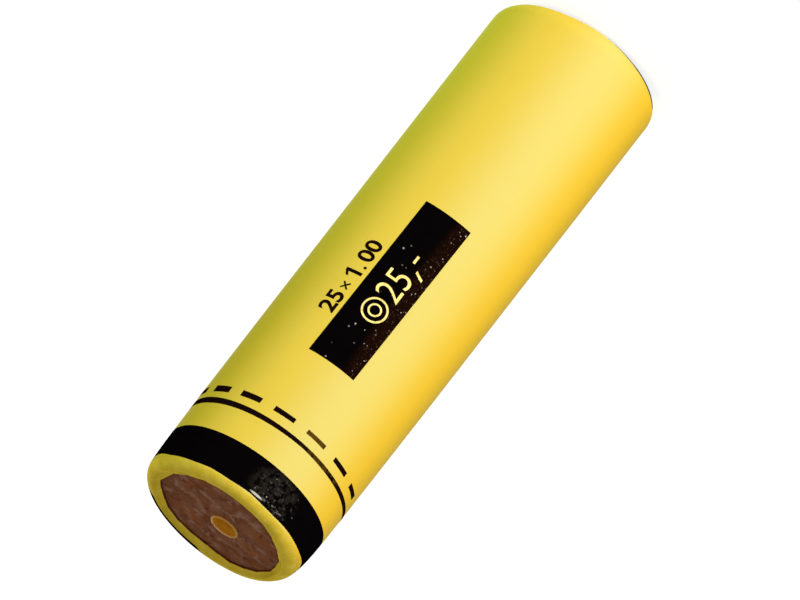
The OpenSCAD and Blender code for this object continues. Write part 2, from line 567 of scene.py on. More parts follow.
def make_fibre_group():
    """Board made of short fibres: a height for its grain, a fine fleck and a broad mottle."""
    group, given = new_group("board_fibres", {"Grain Scale": 5.0, "Mottle Scale": 0.35})
    place = use_group(group, place_group)
    threads = streaks(place, (15, 80, 145), 1 / 3, (1.0, 0.25, 0.6), given["Grain Scale"], 3.0, 0.6, 0.4)
    return give_out(group, {
        "Height": threads.ease(0.45, 0.8), "Fleck": threads.ease(0.66, 0.80),
        "Mottle": noise(place, given["Mottle Scale"], 5.0, 0.62, 0.6).ease(0.3, 0.72),
    })


fibre_group = make_fibre_group()


def board_material(name, dark, light, fleck, seam_pitch):
    """Kraft board between two colours, flecked with pale fibres. Its strips meet in a dark line
    that climbs by the seam pitch in each turn."""
    tree, shader = new_material(name)
    fibres = use_group(tree, fibre_group)
    place = use_group(tree, place_group)
    climb = place["Turn"] * (seam_pitch / 360) + place["From End"]
    seam = 1.0 - climb.calc("WRAP", seam_pitch, 0.0).ease(0.10, 0.30)
    colour = tinted(
        mix(fibres["Mottle"], dark, light),
        (fibres["Fleck"] * 0.5, fleck),
        (seam * 0.6, (0.06, 0.03, 0.015)),
    )
    roughness = fibres["Mottle"].ease(0.0, 1.0, 0.72, 0.9)
    dry_finish(shader, colour, roughness, 0.02, fibres["Height"] - seam * 1.5, 0.00003, 0.8)


def liner_points(node):
    """A straight board tube: its section runs up the outside and down the inside, with a small
    round at each edge, and the edges are a little frayed."""
    outer, low_z, high_z = round_size(node)
    inner = outer - board_wall
    outer_round, inner_round = outer - edge_round, inner + edge_round
    low_round, high_round = low_z + edge_round, high_z - edge_round
    r = [outer, outer, outer_round, inner_round, inner, inner, inner_round, outer_round]
    z = [low_round, high_round, high_z, high_z, high_round, low_round, low_z, low_z]
    r, z = np.array([r, z])[:, :, None]
    turn = column_turns(LINER_COLUMNS)
    fray = edge_fray * (uneven_round(turn, 40, 3.0) - 1) / 2
    return out_of_true(around(r, z + np.where(z > (low_z + high_z) / 2, fray, -fray), turn))


board_material("liner_kraft", (0.33, 0.19, 0.09), (0.47, 0.30, 0.16), (0.62, 0.46, 0.28), 27.0)
for node, body in (("body_liner", "tube"), ("cap_liner", "tear_off_end")):
    points = liner_points(node)
    faces = grid_faces(len(points), LINER_COLUMNS, True)
    add_piece("wound_" + node, points, faces, ["liner_kraft"], body, [node])

# The plugs are wound from a strip of soft ochre board, so that their ends show a spiral. They
# fill the tube from the coins to the end discs, and the vent is bored through them off centre.
STOP_COLUMNS = 360
vent_r = 1.94
vent_place = np.array([-0.78, 0.8])
near_bend_r = 1.5
far_bend_r = 3.2
paper_wall = 0.175
stop_gap = 0.05
plug_winding = 0.42


def between_vent_and_rim(inner_r, outer_r, share, z, turn):
    """Places at a share of the way from a circle round the vent to a circle round the axis."""
    angle = np.radians(turn)
    x = (1 - share) * (vent_place[0] + inner_r * np.cos(angle)) + share * outer_r * np.cos(angle)
    y = (1 - share) * (vent_place[1] + inner_r * np.sin(angle)) + share * outer_r * np.sin(angle)
    return np.stack(np.broadcast_arrays(x, y, z), axis=-1)


def face_rows(outer_r, z, round_r, z_step):
    """Rows of one face of a plug, from its rim in to its vent: the inner radius, the outer radius,
    the share of the way and the height, with both of its edges rounded."""
    edge_z = z - z_step * round_r
    rounded_z = z - z_step * 0.3 * round_r
    return [
        (vent_r, outer_r, 1.0, edge_z),
        (vent_r, outer_r - 0.3 * round_r, 1.0, rounded_z),
        *((vent_r + round_r, outer_r - round_r, share, z) for share in np.linspace(1, 0, 24)),
        (vent_r + 0.3 * round_r, outer_r, 0.0, rounded_z),
        (vent_r, outer_r, 0.0, edge_z),
    ]


def plug_points(node, bend_r, at_low_end):
    """A plug: its section runs in across its inmost face, along the vent, out across the face
    behind the disc and back up the side, which narrows where the paper rolls in round it. It is
    drawn for the plain end and turned over for the marked one."""
    side_r, low_z, high_z = round_size(node)
    if not at_low_end:
        low_z, high_z = tube_h - high_z, tube_h - low_z
    side_z = np.linspace(low_z, bend_r, 9)
    inner_bend = bend_r - paper_wall - stop_gap
    reach = np.minimum(side_r, tube_r - bend_r + np.sqrt(inner_bend**2 - (bend_r - side_z) ** 2))
    rows = face_rows(side_r, high_z, 0.12, 1) + face_rows(reach[0], low_z, 0.05, -1)[::-1]
    rows += [(vent_r, r, 1.0, z) for r, z in zip(reach[1:], side_z[1:])]
    inner_r, outer_r, share, z = np.array(rows).T[:, :, None]
    turn = column_turns(STOP_COLUMNS)
    swell = 0.03 * uneven_round(turn, 9, 2.0)
    z = z if at_low_end else tube_h - z
    return out_of_true(between_vent_and_rim(inner_r + swell * (share == 0), outer_r, share, z, turn))


def make_plug_material():
    """Soft ochre board whose ends show the wound strip as a spiral of dark lines, which the wall
    of the vent doesn't show."""
    tree, shader = new_material("plug_winding")
    fibres = use_group(tree, fibre_group, {"Grain Scale": 4.0})
    place = use_group(tree, place_group)
    ridge = (place["Turn"] * (1 / 360) + place["Radius"] / plug_winding).calc("PINGPONG", 0.5)
    across = add_node(tree, "VectorMath", {0: place, 1: (*vent_place, 0)}, operation="SUBTRACT")
    flat = add_node(tree, "VectorMath", {0: across, 1: (1, 1, 0)}, operation="MULTIPLY")
    from_vent = add_node(tree, "VectorMath", {0: flat}, operation="LENGTH")["Value"]
    line = from_vent.ease(vent_r + 0.04, vent_r + 0.10) * (1.0 - ridge.ease(0.02, 0.12))
    colour = tinted(
        mix(fibres["Mottle"], (0.78, 0.36, 0.015), (0.90, 0.50, 0.03)),
        (fibres["Fleck"] * 0.35, (0.92, 0.60, 0.14)),
        (line * 0.6, (0.16, 0.07, 0.01)),
    )
    roughness = fibres["Mottle"].ease(0.0, 1.0, 0.75, 0.92)
    dry_finish(shader, colour, roughness, 0.02, fibres["Height"] - line, 0.00004, 0.8)


make_plug_material()
for node, body, bend_r, at_low_end in (
    ("far_end_plug", "tube", far_bend_r, True),
    ("near_end_plug", "tear_off_end", near_bend_r, False),
):
    points = plug_points(node, bend_r, at_low_end)
    faces = grid_faces(len(points), STOP_COLUMNS, True)[:, :: 1 if at_low_end else -1]
    add_piece("wound_" + node, points, faces, ["plug_winding"], body, [node])

# The end discs are punched from reddish-brown chipboard. The vent is pierced from within, which
# leaves a torn pale lip standing round it, and the folded paper holds each disc by its edge.
near_fold_w = 2.7
far_fold_w = 4.1
lip_w = 0.30
lip_steps = (0.9, 0.75, 0.6, 0.5, 0.42, 0.34, 0.28, 0.22, 0.16, 0.10, 0.05, 0.0)
opening_shares = np.array([
    (7, 1.03), (20, 1.00), (35, 0.99), (47, 1.015), (62, 1.00), (78, 0.965), (92, 0.945),
    (104, 0.985), (116, 1.035), (130, 1.03), (143, 1.04), (163, 1.05), (176, 1.03), (191, 1.035),
    (208, 1.00), (226, 0.99), (243, 1.02), (262, 1.00), (280, 1.02), (300, 1.00), (318, 0.985),
    (337, 1.00),
])


def fold_place(turn):
    """Which straight stretch of the crimped opening each angle is in, how far along it that is,
    and the angle that the stretch spans."""
    corners = opening_shares[:, 0]
    turn = np.asarray(turn) % 360
    stretch = (np.searchsorted(corners, turn, side="right") - 1) % len(corners)
    start = corners[stretch]
    span = (np.roll(corners, -1)[stretch] - start) % 360
    return stretch, ((turn - start) % 360) / span, span


def opening_edge(turn, mean_r):
    """Radius of the crimped opening: straight chords between its corners."""
    stretch, along, span = fold_place(turn)
    r1 = mean_r * opening_shares[stretch, 1]
    r2 = mean_r * np.roll(opening_shares[:, 1], -1)[stretch]
    before = np.radians(along * span)
    after = np.radians((1 - along) * span)
    return r1 * r2 * np.sin(before + after) / (r1 * np.sin(before) + r2 * np.sin(after))


def disc_points(node, outward, mean_opening_r, lip_h):
    """A disc whose outer face looks up or, with outward of -1, down. Its section runs in across the outer
    face, over the torn lip, down the vent and out across the inner face. It gives the points, how torn each
    of them is, a painted light on one side of the torn lip, and a painted shadow that the paper's edge and
    crest cast on the face."""
    rim_r, low_z, high_z = round_size(node)
    thickness = high_z - low_z
    rows = [(0.0, 0.0, 1.0, -0.06)]
    rows += [(1.0, 0.05, share, 0.0) for share in np.linspace(1, 0, 56)]
    rows += [(step, 0.05, 0.0, 0.0) for step in lip_steps]
    rows += [(0.0, 0.0, 0.0, -depth) for depth in (0.1, 0.25, thickness - 0.03)]
    rows += [(0.03, 0.02, share, -thickness) for share in np.linspace(0, 1, 8)]
    rows += [(0.0, 0.0, 1.0, -thickness + 0.03)]
    grown, shrunk, share, z = np.array(rows).T[:, :, None]
    turn = column_turns(STOP_COLUMNS)
    at_vent = share == 0
    on_face = z == 0
    tear = uneven_round(turn, 23) * 0.6 + uneven_round(turn, 61, 3.0) * 0.4
    points = between_vent_and_rim(vent_r + grown + 0.05 * tear * at_vent, rim_r - shrunk, share, z, turn)
    x, y = points[..., 0], points[..., 1]
    swell = 0.016 * uneven(x / 3.7, y / 3.7) + 0.007 * uneven(x / 0.9, y / 0.9)
    lip_place = np.clip(grown / (lip_w * (1 + 0.25 * tear)), 0, 1)
    lip = lip_h * (0.85 + 0.3 * tear) * np.sin(math.pi * np.sqrt(lip_place)) * at_vent
    outer_z = high_z if outward == 1 else low_z
    points[..., 2] = outer_z + outward * (z + on_face * (swell * np.clip(grown, 0, 1) + lip))
    torn = at_vent * np.where(z < 0, 2.0, np.clip(1.6 - grown / lip_w * (1.2 - 0.3 * tear), 0, 1))
    # Painted light: the torn lip is made paler on one side of the vent, round towards +X and +Y.
    lip_painted_light = torn * np.clip(np.cos(np.radians(turn - 65)), 0, 1) ** 0.7 * (z >= 0)
    r = np.hypot(x, y)
    past_edge = r - opening_edge(turn, mean_opening_r)
    # Painted shadow: the face darkens towards the paper's edge, most at the front, where the crest shades
    # it, and in a dark line just under the edge.
    crest_painted_shadow = np.clip(past_edge / 1.5 + 1, 0, 1) ** 2 * (0.40 - 0.30 * y / r)
    edge_painted_shadow = on_face * np.maximum(np.clip((past_edge + 0.30) / 0.25, 0, 1), crest_painted_shadow)
    return out_of_true(points), {"torn": torn, "lip_painted_light": lip_painted_light, "edge_painted_shadow": edge_painted_shadow}


def make_disc_material():
    """Chipboard mottled from dark brown to a dusty pink brown, with pale torn fibres at the vent, painted
    light on one side of the torn lip, and a dark red painted shadow along the paper's edge."""
    tree, shader = new_material("chipboard")
    fibres = use_group(tree, fibre_group, {"Grain Scale": 3.2, "Mottle Scale": 0.30})
    place = use_group(tree, place_group)
    colour = tinted(
        mix(fibres["Mottle"], (0.175, 0.055, 0.018), (0.265, 0.110, 0.056)),
        (noise(place, 0.42, 5.0, 0.62, 0.4).ease(0.48, 0.64) * 0.75, (0.37, 0.195, 0.130)),
        (noise(place, 0.35, 3.0, 0.5).ease(0.5, 0.7) * 0.65, (0.29, 0.080, 0.012)),
        (noise(place, 0.8, 4.0, 0.65, 0.5).ease(0.52, 0.68) * 0.8, (0.110, 0.027, 0.008)),
        (fibres["Fleck"] * 0.25, (0.45, 0.25, 0.15)),
        # A dark red painted shadow where the paper's edge and crest lie over the disc.
        (painted(tree, "edge_painted_shadow") * 0.85, (0.10, 0.012, 0.006)),
    )
    torn = painted(tree, "torn")
    fluff = tinted(
        mix(noise(place, 6.0, 3.0), (0.60, 0.26, 0.03), (0.85, 0.54, 0.18)),
        # Painted light on one side of the torn lip.
        (painted(tree, "lip_painted_light"), (0.97, 0.66, 0.34)),
        (torn.ease(1.1, 1.6), (0.86, 0.42, 0.02)),
    )
    colour = mix(torn.ease(0.25, 0.7), colour, fluff)
    roughness = fibres["Mottle"].ease(0.0, 1.0, 0.75, 0.92)
    dry_finish(shader, colour, roughness, 0.02, fibres["Height"], 0.00004, 0.9)


make_disc_material()
for node, body, outward, opening_r, lip_h in (
    ("far_end_disc", "tube", -1, tube_r - far_fold_w, 0.12),
    ("near_end_disc", "tear_off_end", 1, tube_r - near_fold_w, 0.17),
):
    points, marks = disc_points(node, outward, opening_r, lip_h)
    faces = grid_faces(len(points), STOP_COLUMNS, True)[:, ::outward]
    disc = add_piece("punched_" + node, points, faces, ["chipboard"], body, [node])
    for mark, values in marks.items():
        paint_points(disc, mark, values)

# The wrapping is two turns of smooth yellow paper, glued along its length at the back. At each
# end it is rolled in round the plug and crimped down on the disc in flat facets, and level with
# the top coin it is perforated, so that the marked end tears off in a ragged line.
SHEET_COLUMNS = 720
FRONT = 270
near_recess = 0.75
fold_gap = 0.02
flap_land_share = 1.055
facet_step = 0.075
tear_below_cut = 0.17
tear_wander = 0.05
tooth_h = 0.07
tooth_pitch = 4
turn_of_paper = 0.08
seam_place = 162
end_margin = tube_h - cut_h
liner_outer_r = round_size("body_liner")[0]
black = (0.0015, 0.0010, 0.0012)


def from_front(turn):
    """Angle round from the front towards -X, from -180 to 180, of an angle from +X."""
    return (FRONT - turn + 180) % 360 - 180


def dents(turn, from_end):
    """How far the paper lies inside its full radius: broad hollows, a crumpled bend at each end,
    which is rounder at the sides of the marked end, and the step where the outer turn of paper
    ends, which dies away round the tube."""
    angle = np.radians(turn)
    drift = from_end / 38
    broad = uneven(0.7 * np.cos(angle) + drift, 0.7 * np.sin(angle) - 0.3 * drift)
    near_crumple = np.exp(-from_end / 1.6) * (1 - uneven_round(turn, 11, 1.0))
    far_crumple = np.exp(-(tube_h - from_end) / 2.5) * (1 - uneven_round(turn, 9, 4.0))
    past_seam = (from_front(turn) - seam_place) % 360
    step = turn_of_paper * np.exp(-(360 - past_seam) / 14)
    round_sides = 0.40 * np.exp(-from_end / 0.8) * np.abs(np.sin(np.radians(from_front(turn)))) ** 3
    return 0.012 * (1 - broad) + 0.035 * near_crumple + 0.05 * far_crumple + step + round_sides


def tear_line(turn):
    """Distance of the tear from the marked end: small teeth between the perforations. It runs
    just past the cut between the liners."""
    teeth = tooth_h * (zigzag(turn, tooth_pitch) - 0.5) * (1 + 0.5 * uneven_round(turn, 31))
    return end_margin + tear_below_cut + teeth + tear_wander * uneven_round(turn, 17, 2.0)


def sheet_points(bend_r, opening_r, drop, row_counts, to_near_end):
    """A sleeve of paper folded in at one end. Its outer side runs from the torn edge to the bend,
    round the bend to its crest, down to the disc along half a cosine wave and flat to its
    crimped edge, in facets like shingles; its inner side runs back a wall's thickness within.
    Distances are from the end."""
    turn = column_turns(SHEET_COLUMNS)
    bend_c = tube_r - bend_r
    land_r = flap_land_share * opening_r
    edge_r = opening_edge(turn, opening_r)
    cut = tear_line(turn) if to_near_end else tube_h - tear_line(turn)
    shingle = (-1 if to_near_end else 1) * facet_step * fold_place(turn)[1]
    down, swing, dip, lying = (np.linspace(0, 1, rows)[:, None] for rows in row_counts)
    swing, dip, lying = swing[1:] * math.pi / 2, dip[1:], lying[1:]
    sides = []
    for inset in (0.0, paper_wall):
        round_r = bend_r - inset
        stretches = (
            (tube_r - inset, cut * (1 - down) + bend_r * down),
            (bend_c + round_r * np.cos(swing), bend_r - round_r * np.sin(swing)),
            (
                bend_c + dip * (land_r - bend_c),
                inset + drop * (1 - np.cos(math.pi * dip)) / 2 + shingle * dip**2,
            ),
            (land_r + lying * (edge_r - land_r), inset + drop + shingle),
        )
        grids = [np.broadcast_arrays(r, h, turn)[:2] for r, h in stretches]
        r, h = (np.concatenate(rows) for rows in zip(*grids))
        r = r - dents(turn, h if to_near_end else tube_h - h) * np.clip((r - bend_c) / bend_r, 0, 1)
        if inset:
            r = np.where(h > bend_r, np.maximum(r, liner_outer_r), r)
        sides.append(np.array([r, h]))
    r, h = np.concatenate([sides[0], sides[1][:, ::-1]], axis=1)
    return out_of_true(around(r, tube_h - h if to_near_end else h, turn))


def make_end_shadow_lines_group():
    """Painted shadow lines in black at the ends: a ring round the fold of the plain end that lies askew, so
    that its right side reaches up the bend as a dark line along that end's edge, and the band's edge
    carried over the crest of the marked end at the back on the left, as a dark line along the outline
    there."""
    group, _ = new_group("shadow_lines_over_ends")
    place = use_group(group, place_group)
    turn, radius, from_end = place["Turn"], place["Radius"], place["From End"]
    from_plain_end = tube_h - from_end
    to_right = add_node(group, "MapRange", {"Value": turn, "From Min": 5.0, "From Max": 70.0})
    width = to_right.calc("POWER", 1.5) * 1.30 + 0.10 + noise(place, 1.2, 3.0, 0.6) * 0.24
    on_right = turn.ease(0.0, 12.0) * turn.ease(76.0, 70.0)
    up_bend = (from_plain_end - (width * on_right + 0.30)).ease(0.03, -0.03)
    in_fold = radius.ease(10.0, 9.9) * from_plain_end.ease(3.0, 2.5)
    round_to_back = (turn + 150.0).calc("WRAP", 180.0, -180.0)
    reach = abs(round_to_back).ease(46.0, 26.0)
    past_edge = (radius - (tube_r - reach * 1.70)).ease(-0.04, 0.04)
    over_crest = past_edge * from_end.ease(1.4, 1.2) * reach.ease(0.0, 0.1)
    return give_out(group, {"Mask": up_bend.calc("MAXIMUM", in_fold).calc("MAXIMUM", over_crest)})


end_shadow_lines_group = make_end_shadow_lines_group()


def make_paper_material():
    """Smooth printed paper: golden yellow with painted light and shade round it: a pale painted highlight
    down the front, painted shade round to the left, where it is greener towards the plain end, and a warmer
    painted light round to the right, darkening at its edge."""
    tree, shader = new_material("yellow_paper")
    place = use_group(tree, place_group)
    colour = mix(noise(place, 0.12, 3.0, 0.5), (0.85, 0.615, 0.066), (0.89, 0.64, 0.078))
    # Painted light and shade round the tube: shade with a green cast to the left, a warm light and then a
    # darker edge to the right, and a pale painted highlight down the front.
    painted_left_shade = mix(place["From End"].ease(10.0, 85.0), (0.56, 0.44, 0.002), (0.67, 0.635, 0.022))
    for middle, half_width, tint in (
        (-86, 60, painted_left_shade),
        (72, 50, (0.87, 0.55, 0.030)),
        (90, 36, (0.60, 0.41, 0.014)),
        (14, 40, (0.85, 0.705, 0.175)),
    ):
        colour = mix(abs(place["Turn"] - middle).ease(half_width, 0.0), colour, tint)
    grain = noise(place, 7.0, 4.0, 0.6)
    # Black at the ends, which is painted shadow along their edges.
    colour = mix(use_group(tree, end_shadow_lines_group), colour, black)
    dry_finish(shader, colour, grain.ease(0.3, 0.7, 0.40, 0.50), 0.015, grain, 0.000010, 0.4)


def make_fold_material():
    """The printed paper where it is rolled in: matt, pleated towards the axis, and duller where
    the crimping pressed it."""
    tree, shader = new_material("folded_paper")
    place = use_group(tree, place_group)
    rubbed = noise(place, 0.7, 4.0, 0.6).ease(0.35, 0.7)
    colour = tinted(
        mix(rubbed, (0.82, 0.59, 0.036), (0.88, 0.66, 0.075)),
        (noise(place, 0.30, 3.0, 0.5).ease(0.42, 0.62) * 0.6, (0.65, 0.48, 0.026)),
        (noise(place, 2.4, 4.0, 0.65).ease(0.56, 0.72) * 0.45, (0.94, 0.73, 0.21)),
        # Black at the ends, which is painted shadow along their edges.
        (use_group(tree, end_shadow_lines_group), black),
    )
    grain = noise(place, 5.0, 4.0, 0.6)
    flat = add_node(tree, "VectorMath", {0: place, 1: (1, 1, 0.02)}, operation="MULTIPLY")
    heading = add_node(tree, "VectorMath", {0: flat}, operation="NORMALIZE")
    pleats = noise(heading, 5.5, 3.0, 0.6).ease(0.35, 0.65)
    dry_finish(shader, colour, grain.ease(0.3, 0.7, 0.6, 0.75), 0.0, pleats * 6.0 + grain, 0.000015, 0.5)


def make_bare_paper_material(name, dark, light):
    """The unprinted side or a cut edge of the paper, with its fibres showing."""
    tree, shader = new_material(name)
    fibres = use_group(tree, fibre_group, {"Grain Scale": 8.0, "Mottle Scale": 1.2})
    colour = mix(fibres["Mottle"], dark, light)
    roughness = fibres["Fleck"].ease(0.0, 1.0, 0.8, 0.9)
    dry_finish(shader, colour, roughness, 0.02, fibres["Height"], 0.000015, 0.6)


make_paper_material()
make_fold_material()
make_bare_paper_material("bare_paper", (0.62, 0.52, 0.34), (0.74, 0.66, 0.48))
make_bare_paper_material("crimped_paper_edge", (0.20, 0.035, 0.012), (0.34, 0.13, 0.03))
paper_sides = ("yellow_paper", "bare_paper", "crimped_paper_edge", "folded_paper")
PRINTED, BARE, CRIMPED, FOLDED = range(4)
for node, body, bend_r, fold_w, drop, row_counts, printed_rows, to_near_end in (
    ("wrapper_body", "tube", far_bend_r, far_fold_w, 0.0, (46, 16, 6, 3), 14, False),
    (
        "wrapper_cap", "tear_off_end", near_bend_r, near_fold_w, near_recess - paper_wall - fold_gap,
        (24, 24, 14, 8), 3, True,
    ),
):
    points = sheet_points(bend_r, tube_r - fold_w, drop, row_counts, to_near_end)
    faces = grid_faces(len(points), SHEET_COLUMNS, True)[:, :: 1 if to_near_end else -1]
    sheet = add_piece("folded_" + node, points, faces, paper_sides, body, [node], 30)
    crimped_row = len(points) // 2 - 1
    kinds = np.full(len(points), BARE)
    kinds[:crimped_row] = FOLDED
    kinds[: row_counts[0] + printed_rows] = PRINTED
    kinds[crimped_row] = CRIMPED
    sheet.data.polygons.foreach_set("material_index", np.repeat(kinds, SHEET_COLUMNS))

# The print is black ink on the paper, drawn as films about a hundredth of a millimetre thick: a
# band and a line round the marked end, dashes over the tear line, and a label.
INK_LIFT = 0.012
film_foot = 0.002
# At the back on the left the band comes down almost to the crest: a painted shadow line along the outline
# there.
band_low_edge = np.array([
    (-168, 0.06), (-160, 0.03), (-120, 0.03), (-106, 0.70), (-90, 1.95), (-73, 1.72), (-61, 1.36),
    (-45, 1.27), (-38, 1.22), (-26, 1.32), (-11, 1.21), (3, 1.36), (13, 1.23), (24, 1.24), (35, 1.42),
    (41, 1.48), (50, 1.54), (62, 1.70), (76, 2.05), (95, 2.1), (115, 1.3), (155, 0.50), (180, 0.20),
])
band_high_edge = 6.50
line_low_edge = np.array([
    (-75, 10.44), (-60, 10.48), (-45, 10.60), (-15, 10.77), (12, 10.92), (30, 10.83), (60, 10.80),
])
line_high_edge = 11.48
dash_low_edge = np.array([(-62, 12.44), (-40, 12.60), (-12, 12.76), (12, 12.87), (40, 12.79), (70, 12.75)])
dash_high_edge = 13.50
thinnest_dash = 0.02
dash_width = 15.0
dash_pitch = 24.7
first_dash = -256.5
dash_count = 14
label_start = 22.8
label_end = 49.4
label_sides = (-22.3, 11.5)
label_skew = 1.5


def skin_r(turn, from_end):
    """Radius of the paper's outer side, which draws in round the bend at the marked end, before
    the tube is pressed out of true."""
    over_bend = np.clip(near_bend_r - from_end, 0, near_bend_r)
    drawn_in = near_bend_r - np.sqrt(near_bend_r**2 - over_bend**2)
    return tube_r - drawn_in - dents(turn, from_end) * (1 - drawn_in / near_bend_r)


def lay_film(name, turn_from_front, from_end, faces, material, body="tube", lift=INK_LIFT):
    """A film of ink over a flat pattern of points, which are given by their angle round from the
    front and their distance from the marked end. It has an upper side, a lower side close to
    the paper, and a wall round each edge that only one face has."""
    turn, from_end = map(np.ravel, np.broadcast_arrays(FRONT - turn_from_front, from_end))
    r = skin_r(turn, from_end)
    over_bend = np.clip(1 - from_end / near_bend_r, 0, 1)
    points = np.concatenate([
        around(r + height * np.sqrt(1 - over_bend**2), tube_h - from_end + height * over_bend, turn)
        for height in (lift, film_foot)
    ])
    count = len(turn)
    starts = faces.ravel()
    ends = np.roll(faces, -1, axis=1).ravel()
    at_edge = ~np.isin(starts * count + ends, ends * count + starts)
    a, b = starts[at_edge], ends[at_edge]
    walls = np.stack([a + count, b + count, b, a], axis=-1)
    all_faces = faces.tolist() + (faces[:, ::-1] + count).tolist() + walls.tolist()
    return add_piece(name, out_of_true(points), all_faces, [material], body)


patch_inputs = {
    "Turn": 0.0, "Half Turn": 10.0, "From End": 0.0, "Half Length": 1.0, "Scale": 3.0, "Cover": 0.5,
}


def new_patch_group(name):
    """A group for marks in a patch of the tube: it, its inputs, the place, and how far that is off
    the patch's middle, as the square of the distance, which is one at the patch's edge."""
    group, given = new_group(name, patch_inputs)
    place = use_group(group, place_group)
    across = (place["Turn"] - given["Turn"]) / given["Half Turn"]
    along = (place["From End"] - given["From End"]) / given["Half Length"]
    return group, given, place, across * across + along * along


def make_rub_and_sheen_group():
    """A soft-edged patch, broken up by noise, that paints rubbed print and also a painted sheen on the ink.
    """
    group, given, place, off_middle = new_patch_group("rub_and_sheen_patch")
    level = noise(place, given["Scale"], 4.0, 0.65) + (given["Cover"] - 1.0) * 0.3
    return give_out(group, {"Mask": (1.0 - off_middle.ease(0.3, 1.0)) * level.ease(0.44, 0.56)})


def make_dust_and_glint_group():
    """Round specks at random places, thinning out from the middle of a patch: dust, and also painted glints
    of the lamps on the ink.
    """
    group, given, place, off_middle = new_patch_group("dust_and_glint_specks")
    speck = add_node(group, "TexVoronoi", {"Vector": place, "Scale": given["Scale"]}, feature="F1")
    chance = add_node(group, "SeparateColor", {"Color": speck["Color"]})
    thinned = given["Cover"] * (1.0 - off_middle.ease(0.0, 1.0))
    present = chance["Red"].calc("LESS_THAN", thinned)
    near = 1.0 - (speck["Distance"] / (chance["Green"] * 0.26 + 0.12)).ease(0.5, 1.0)
    return give_out(group, {"Mask": near * present * (chance["Blue"] * 0.75 + 0.25)})


rub_and_sheen_group = make_rub_and_sheen_group()
dust_and_glint_group = make_dust_and_glint_group()


def ink_material(name, ink, rubs_and_sheen, dust_and_glints=()):
    """Ink with rubbed and then dusty patches, some of which are painted sheen and glints of the lamps. Each
    is given by the values of the patch's inputs and its colour."""
    tree, shader = new_material(name)
    place = use_group(tree, place_group)
    colour = mix(noise(place, 0.6, 4.0), ink, tuple(2.0 * level for level in ink))
    for patch_group, patches in ((rub_and_sheen_group, rubs_and_sheen), (dust_and_glint_group, dust_and_glints)):
        for patch, tone in patches:
            colour = mix(use_group(tree, patch_group, dict(zip(patch_inputs, patch))), colour, tone)
    grain = noise(place, 3.0, 4.0, 0.6)
    dry_finish(shader, colour, grain.ease(0.3, 0.7, 0.34, 0.5), 0.0, grain, 0.000006, 0.5)


# The band's soft grey haze and pale specks round the front right are partly rubbed ink and partly a painted
# sheen of the key lamp; the pale streak and the grey one low down near the crest are painted highlights on
# the bend.
ink_material("band_ink", black, [
    ((15.0, 21.0, 3.7, 3.6, 0.9, 1.0), (0.016, 0.013, 0.010)),
    ((16.0, 18.0, 3.5, 3.1, 2.0, 0.66), (0.060, 0.053, 0.042)),
    ((6.8, 5.6, 1.72, 0.21, 0.5, 2.0), (0.60, 0.57, 0.52)),
    ((20.0, 12.0, 1.90, 0.36, 1.9, 0.9), (0.15, 0.135, 0.115)),
], [
    ((19.0, 20.0, 3.4, 3.2, 2.6, 0.16), (0.50, 0.47, 0.41)),
])
# The brown haze and the pale specks along the label's right side are partly wear and dust and partly a
# painted sheen of the key lamp.
ink_material("label_ink", black, [
    ((12.0, 14.0, 36.0, 26.0, 0.5, 1.6), (0.010, 0.0030, 0.0015)),
    ((10.0, 11.0, 36.0, 20.0, 3.2, 0.62), (0.040, 0.022, 0.013)),
], [
    ((9.0, 10.0, 38.0, 17.0, 2.1, 0.30), (0.66, 0.63, 0.56)),
    ((9.5, 9.0, 34.0, 18.0, 3.4, 0.36), (0.22, 0.17, 0.12)),
    ((2.0, 22.0, 27.0, 8.0, 2.0, 0.16), (0.62, 0.59, 0.52)),
    ((-6.0, 26.0, 36.0, 18.0, 1.6, 0.06), (0.50, 0.47, 0.40)),
])
# The brownish rubbed stretches about the front right, where one dash looks faded, are partly wear and
# partly a painted sheen of the key lamp.
ink_material("line_ink", (0.006, 0.0020, 0.0018), [
    ((15.0, 9.5, 13.2, 0.9, 1.2, 1.5), (0.105, 0.055, 0.006)),
    ((28.0, 22.0, 11.2, 0.6, 0.9, 0.95), (0.075, 0.038, 0.004)),
    ((0.0, 80.0, 11.9, 2.5, 7.0, 0.02), (0.50, 0.30, 0.10)),
])


def print_edge(places, turn):
    """An edge of the print round the tube, from its distances at a few angles from the front."""
    return np.interp(turn, places[:, 0], places[:, 1], period=360)


def add_round_film(name, low_places, high_edge, rows, material):
    """A band of ink right round the tube between two edges, with its rows closer together over
    the bend."""
    turn = column_turns(SHEET_COLUMNS) - 180
    share = np.linspace(0, 1, rows)[:, None] ** 1.6
    from_end = print_edge(low_places, turn) * (1 - share) + high_edge * share
    lay_film(name, turn, from_end, grid_faces(rows, SHEET_COLUMNS), material, "tear_off_end")


add_round_film("black_band", band_low_edge, band_high_edge, 40, "band_ink")
add_round_film("thin_line", line_low_edge, line_high_edge, 3, "line_ink")


def add_dashes(name, body):
    """The part of each dash on one body's side of the tear line."""
    rows, columns = 3, 31
    middles = first_dash + dash_pitch * np.arange(dash_count)[:, None, None]
    turn = middles + np.linspace(-0.5, 0.5, columns) * dash_width
    share = np.linspace(0, 1, rows)[None, :, None]
    low = high = tear_line(FRONT - turn)
    if body == "tear_off_end":
        low = np.minimum(print_edge(dash_low_edge, turn), high - thinnest_dash)
    else:
        high = dash_high_edge
    starts = rows * columns * np.arange(dash_count)[:, None, None]
    faces = (grid_faces(rows, columns, False, False) + starts).reshape(-1, 4)
    lay_film(name, turn, low * (1 - share) + high * share, faces, "line_ink", body)


add_dashes("tear_dashes_marked_side", "tear_off_end")
add_dashes("tear_dashes_plain_side", "tube")


